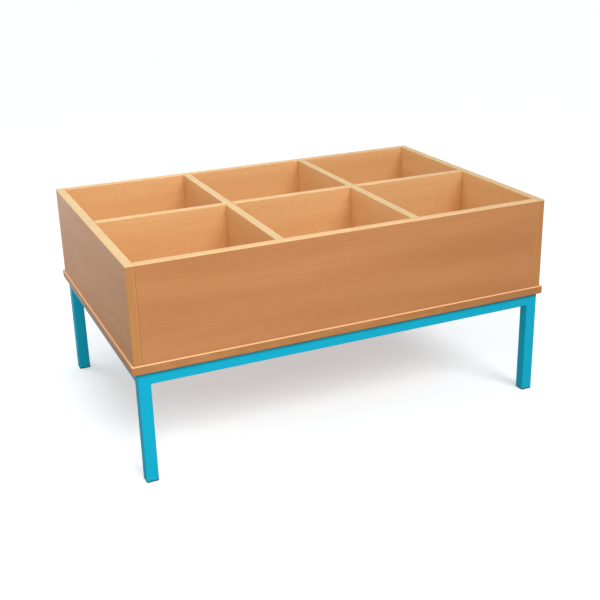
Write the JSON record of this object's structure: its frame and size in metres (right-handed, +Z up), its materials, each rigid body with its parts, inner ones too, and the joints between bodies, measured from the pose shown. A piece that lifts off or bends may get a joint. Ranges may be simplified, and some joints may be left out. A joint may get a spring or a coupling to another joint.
{
  "type": "picture book browser bin",
  "caption": "Low open-topped browser bin for picture books: a beech-faced box with equal compartments on a blue square-tube steel frame.",
  "frame": {"origin": "on the floor, at the middle of the object's length and depth", "axes": "+X right along the long side, -Y front, +Y back, +Z up"},
  "size_m": [0.933, 0.618, 0.45],
  "materials": {
    "board": "satin lacquered beech face with fine straight grain",
    "edging": "satin beech edging with rounded arrises",
    "tube_frame": "satin blue powder coat with a slight orange peel",
    "foot": "matt moulded plastic",
    "biscuit": "bare pressed beech",
    "screw": "zinc-plated steel"
  },
  "bodies": {
    "root": {"back_panel": "board", "back_panel_edging": "edging", "base_biscuits": "biscuit", "base_board": "board", "base_edging_back": "edging", "base_edging_front": "edging", "base_edging_left": "edging", "base_edging_right": "edging", "corner_biscuits": "biscuit", "cross_divider_left": "board", "cross_divider_left_edging": "edging", "cross_divider_right": "board", "cross_divider_right_edging": "edging", "foot_back_left": "foot", "foot_back_right": "foot", "foot_front_left": "foot", "foot_front_right": "foot", "frame_screws": "screw", "front_panel": "board", "front_panel_edging": "edging", "left_end_back_edging": "edging", "left_end_front_edging": "edging", "left_end_panel": "board", "left_end_top_edging": "edging", "leg_back_left": "tube_frame", "leg_back_right": "tube_frame", "leg_front_left": "tube_frame", "leg_front_right": "tube_frame", "long_divider": "board", "long_divider_edging_left": "edging", "long_divider_edging_middle": "edging", "long_divider_edging_right": "edging", "rail_back": "tube_frame", "rail_front": "tube_frame", "rail_left": "tube_frame", "rail_right": "tube_frame", "right_end_back_edging": "edging", "right_end_front_edging": "edging", "right_end_panel": "board", "right_end_top_edging": "edging"}
  },
  "joints": []
}
